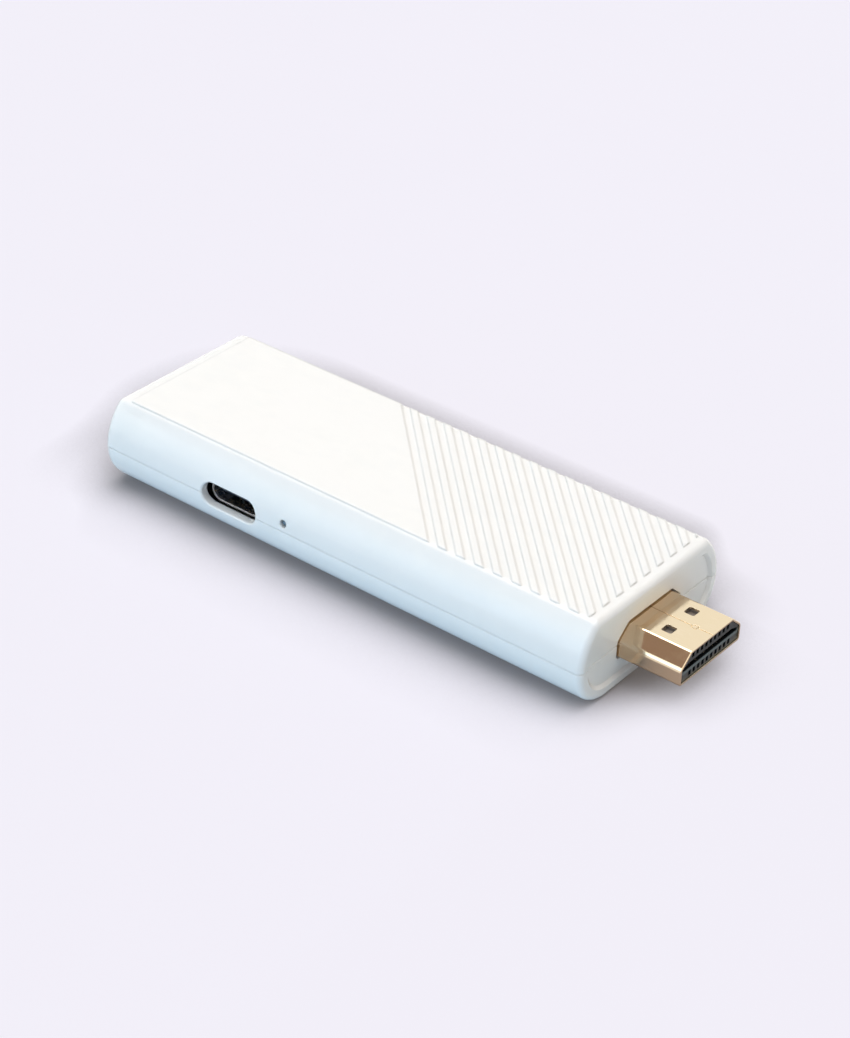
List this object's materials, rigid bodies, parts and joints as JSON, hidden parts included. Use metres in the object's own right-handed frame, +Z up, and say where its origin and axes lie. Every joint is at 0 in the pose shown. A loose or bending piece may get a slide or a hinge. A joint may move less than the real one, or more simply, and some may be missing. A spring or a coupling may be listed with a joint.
{
  "type": "streaming stick",
  "caption": "Slim rounded television streaming stick with a built-in HDMI plug at one end, a USB-C power port and a pinhole reset switch in one side, and slanting ribs on top.",
  "frame": {"origin": "below the middle of the whole length, plug included, on the surface that the stick lies on", "axes": "+X along the stick towards the HDMI plug, +Z up through the ribbed face, the port and reset side faces -Y"},
  "size_m": [0.0932, 0.0316, 0.0133],
  "materials": {
    "white_gloss": "smooth glossy white moulding",
    "plug_gold": "light gold plating on formed sheet",
    "plug_black": "black moulding",
    "contact_gold": "gold plating",
    "port_steel": "drawn stainless sheet",
    "port_black": "black moulding",
    "can_steel": "tinned sheet",
    "plunger_grey": "grey moulding",
    "switch_black": "black moulding",
    "board_green": "solder mask on glass fibre board",
    "chip_black": "moulded epoxy",
    "inductor_grey": "pressed ferrite",
    "ceramic_tan": "fired ceramic",
    "ceramic_white": "fired ceramic",
    "pad_blue": "soft filled silicone",
    "spreader_aluminium": "plain stamped sheet",
    "screw_steel": "plated steel"
  },
  "bodies": {
    "stick": {"top_shell": "white_gloss", "bottom_shell": "white_gloss", "hdmi_shell": "plug_gold", "hdmi_insulator": "plug_black", "hdmi_upper_contacts": "contact_gold", "hdmi_lower_contacts": "contact_gold", "hdmi_collar": "can_steel", "usb_shell": "port_steel", "usb_insulator": "port_black", "usb_upper_contacts": "contact_gold", "usb_lower_contacts": "contact_gold", "reset_switch_body": "switch_black", "reset_switch_cover": "can_steel", "reset_leaf": "can_steel", "main_board": "board_green", "processor": "chip_black", "memory_chips": "chip_black", "storage_chip": "chip_black", "power_chip": "chip_black", "line_protectors": "chip_black", "power_inductors": "inductor_grey", "bulk_capacitors": "ceramic_tan", "small_capacitors": "ceramic_tan", "clock_crystal": "can_steel", "wireless_module": "board_green", "wireless_shield": "can_steel", "wifi_antenna": "ceramic_white", "thermal_pads": "pad_blue", "heat_spreader": "spreader_aluminium", "board_screws": "screw_steel"},
    "reset_button": {"reset_plunger": "plunger_grey"}
  },
  "joints": [
    {"name": "reset_press", "type": "slide", "parent": "stick", "child": "reset_button", "axis": [0, 1, 0], "range_m": [0, 0.00025], "stiffness_N_per_m": 4000}
  ]
}
